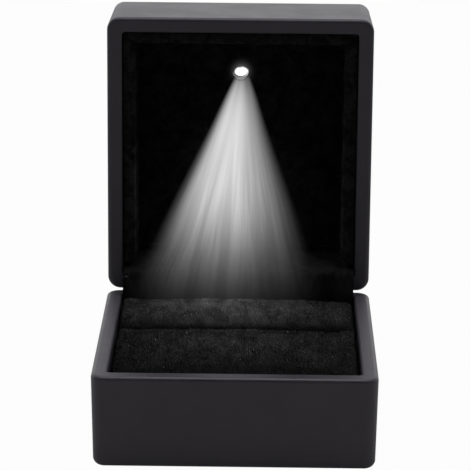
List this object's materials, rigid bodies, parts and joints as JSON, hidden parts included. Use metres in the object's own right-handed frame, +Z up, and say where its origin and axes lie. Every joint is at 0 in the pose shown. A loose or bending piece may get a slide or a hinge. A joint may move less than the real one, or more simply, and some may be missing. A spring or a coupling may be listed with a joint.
{
  "type": "ring display box",
  "caption": "Black moulded box for one ring, shown open: drafted base and lid on a spring hinge, crowned velvet pads with a ring slit, lined lid with a lamp.",
  "frame": {"origin": "centre of the base's flat underside", "axes": "+X to the right seen from the front, +Y towards the hinge, +Z up; the lid stands open at rest"},
  "size_m": [0.062, 0.0889, 0.0864],
  "materials": {
    "shell": "soft-touch satin, moulded",
    "card": "folded black card",
    "pad_velvet": "short black velvet pile over foam",
    "lining_velvet": "short black velvet pile on card",
    "hinge_steel": "nickel-plated sheet steel",
    "screw_steel": "bright plated steel",
    "spring_steel": "drawn spring wire",
    "module_plastic": "moulded black plastic",
    "lamp_lens": "clear lens, lit white",
    "board": "green solder resist",
    "resistor": "lacquered barrel",
    "cell_steel": "plated button cell",
    "contact_brass": "sprung strip",
    "lead_sleeve": "plain sleeve",
    "plunger_plastic": "moulded white plastic"
  },
  "bodies": {
    "base": {"base_shell": "shell", "pad_tray": "card", "ring_pad_front": "pad_velvet", "ring_pad_rear": "pad_velvet", "hinge_leaf_base": "hinge_steel", "hinge_screws_base": "screw_steel", "hinge_pin": "screw_steel", "hinge_spring": "spring_steel", "hinge_flap": "lining_velvet"},
    "lid": {"lid_shell": "shell", "lid_liner_frame": "lining_velvet", "lid_panel": "lining_velvet", "lamp_bezel": "module_plastic", "lamp": "lamp_lens", "circuit_board": "board", "resistor": "resistor", "battery_holder": "module_plastic", "cell_1": "cell_steel", "cell_2": "cell_steel", "cell_3": "cell_steel", "contact_strip_back": "contact_brass", "contact_strip_front": "contact_brass", "module_screws": "screw_steel", "switch_leads": "lead_sleeve", "hinge_leaf_lid": "hinge_steel", "hinge_screws_lid": "screw_steel", "switch_body": "module_plastic", "switch_spring": "spring_steel"},
    "plunger": {"switch_plunger": "plunger_plastic"}
  },
  "joints": [
    {"name": "lid_hinge", "type": "hinge", "parent": "base", "child": "lid", "pos_m": [0, 0.03275, 0.0209], "axis": [1, 0, 0], "range_deg": [0, 90], "deforming": ["hinge_flap", "hinge_spring"]},
    {"name": "switch_press", "type": "slide", "parent": "lid", "child": "plunger", "axis": [0, 1, 0], "range_m": [0, 0.001], "deforming": ["switch_spring"]}
  ],
  "couplings": [
    {"joint": "switch_press", "follows": "lid_hinge", "m_per_rad": 0.00063}
  ]
}
